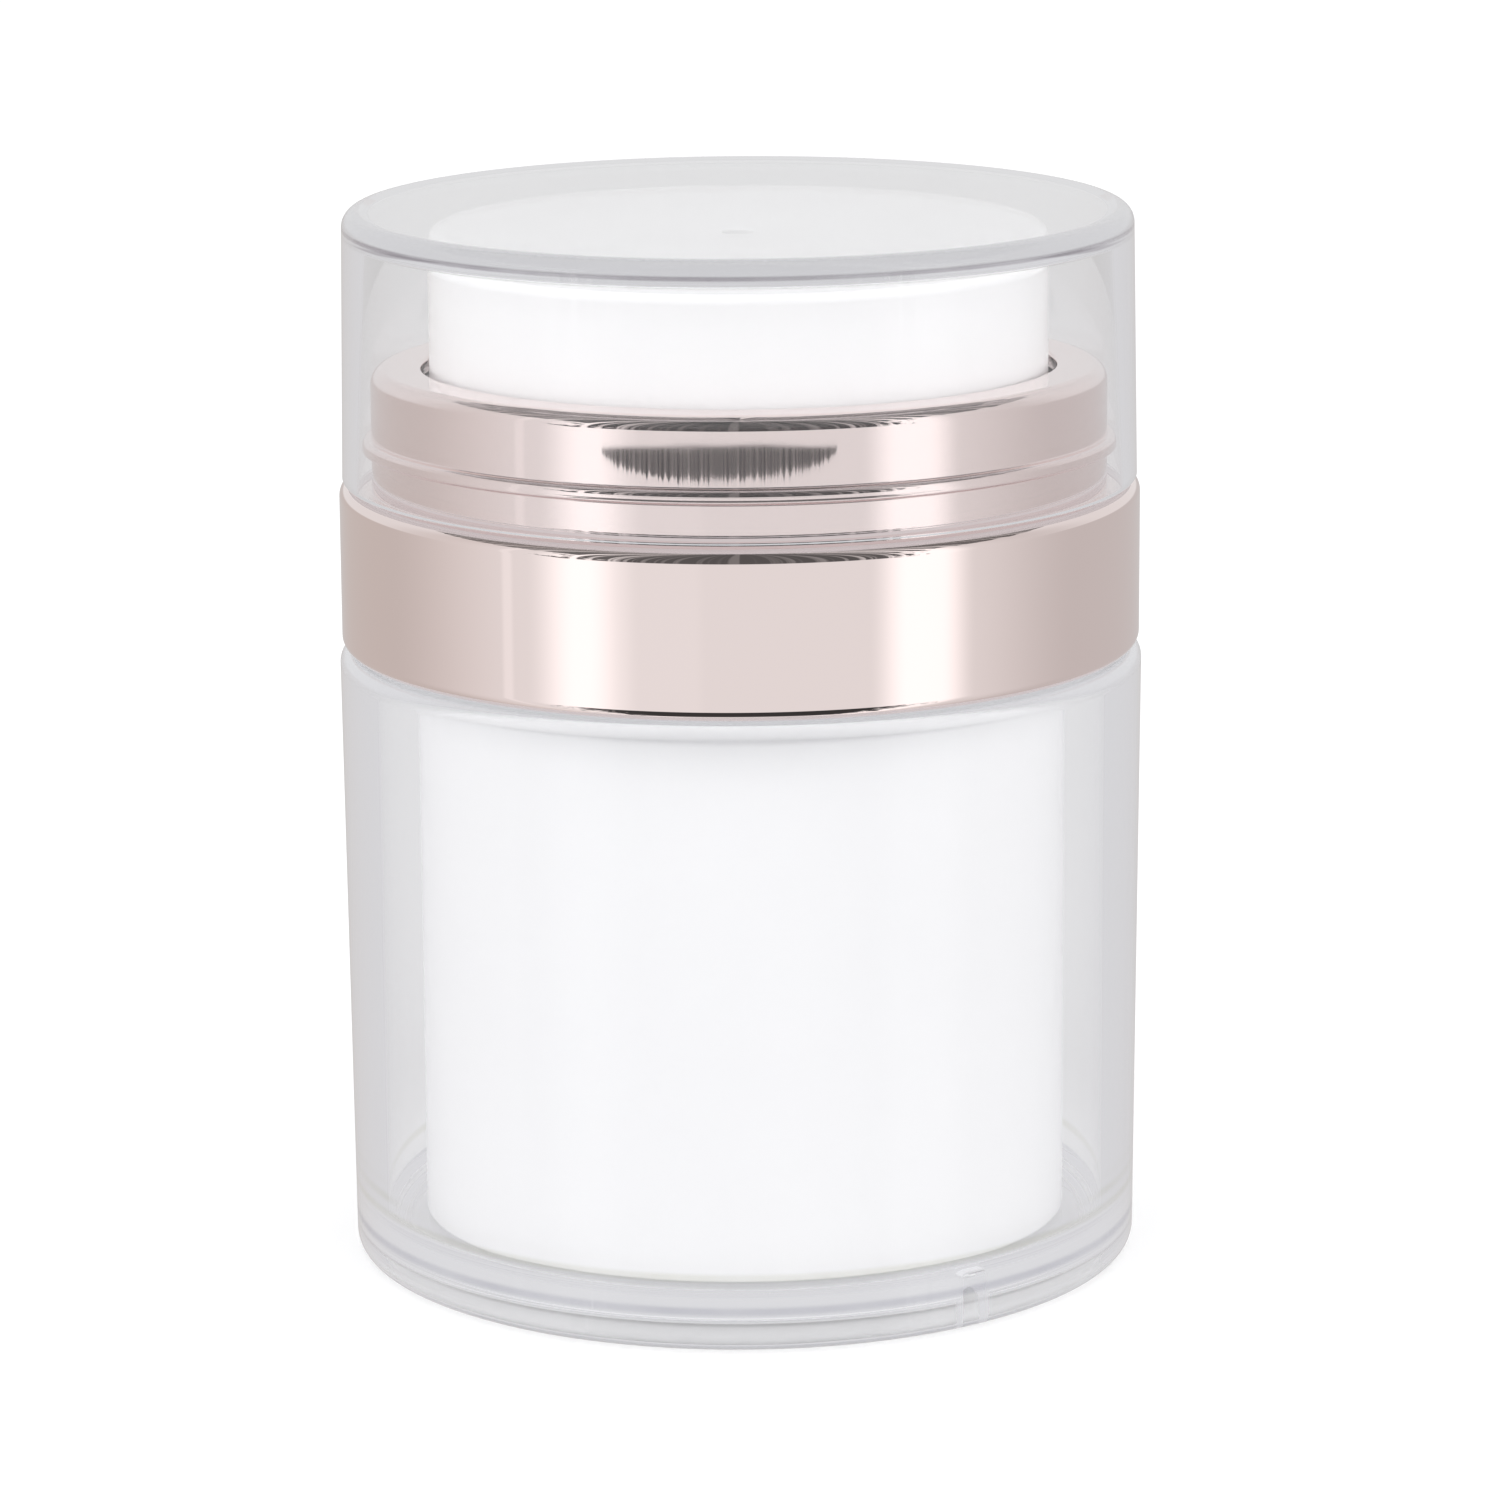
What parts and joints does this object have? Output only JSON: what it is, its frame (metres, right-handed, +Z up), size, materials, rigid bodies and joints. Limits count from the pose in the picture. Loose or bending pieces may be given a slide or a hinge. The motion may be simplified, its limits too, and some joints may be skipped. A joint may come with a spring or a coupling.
{
  "type": "airless press-pump cream jar",
  "caption": "Round cream jar with clear double wall, white inner cup and follower, plated screw collar, sprung press-pump head and clear lift-off overcap.",
  "frame": {"origin": "centre of the foot ring, on the surface that the jar stands on", "axes": "+Z up along the jar's axis; the picture's view looks along +Y, so -Y is the front"},
  "size_m": [0.0624, 0.0624, 0.0823],
  "materials": {
    "clear_acrylic": "colourless clear acrylic, polished",
    "white_plastic": "glossy white polypropylene",
    "milky_plastic": "unpigmented milky polyethylene",
    "rose_plating": "mirror-bright rose gold metal plating on plastic",
    "spring_wire": "drawn stainless wire",
    "silicone": "pale translucent silicone",
    "foam": "pressed white foam"
  },
  "bodies": {
    "jar": {"outer_jar": "clear_acrylic", "inner_cup": "white_plastic"},
    "follower": {"follower_piston": "milky_plastic"},
    "pump": {"pump_body": "milky_plastic", "neck_gasket": "foam", "valve_retainer": "milky_plastic", "cylinder_cap": "white_plastic", "return_spring": "spring_wire"},
    "inlet": {"inlet_valve": "silicone"},
    "collar": {"closure_ring": "white_plastic", "collar_shell": "rose_plating"},
    "cap": {"overcap": "clear_acrylic"},
    "head": {"press_head": "white_plastic", "pump_stem": "white_plastic", "piston_seat": "white_plastic"},
    "piston": {"stem_piston": "milky_plastic"}
  },
  "joints": [
    {"name": "follower_rise", "type": "slide", "parent": "jar", "child": "follower", "axis": [0, 0, 1], "range_m": [0, 0.0297]},
    {"name": "pump_rise", "type": "slide", "parent": "jar", "child": "pump", "axis": [0, 0, 1], "range_m": [0, 0.004]},
    {"name": "inlet_lift", "type": "slide", "parent": "pump", "child": "inlet", "axis": [0, 0, 1], "range_m": [0, 0.0008]},
    {"name": "collar_turn", "type": "hinge", "parent": "pump", "child": "collar", "pos_m": [0, 0, 0.0558], "axis": [0, 0, 1], "range_deg": [0, 360]},
    {"name": "cap_lift", "type": "slide", "parent": "collar", "child": "cap", "axis": [0, 0, 1], "range_m": [0, 0.026]},
    {"name": "head_press", "type": "slide", "parent": "pump", "child": "head", "axis": [0, 0, -1], "range_m": [0, 0.0055], "stiffness_N_per_m": 1500, "springref_m": -0.003, "deforming": ["return_spring"]},
    {"name": "piston_lag", "type": "slide", "parent": "head", "child": "piston", "axis": [0, 0, 1], "range_m": [0, 0.0008]}
  ],
  "couplings": [
    {"joint": "collar_turn", "follows": "pump_rise", "rad_per_m": 1570.8}
  ]
}
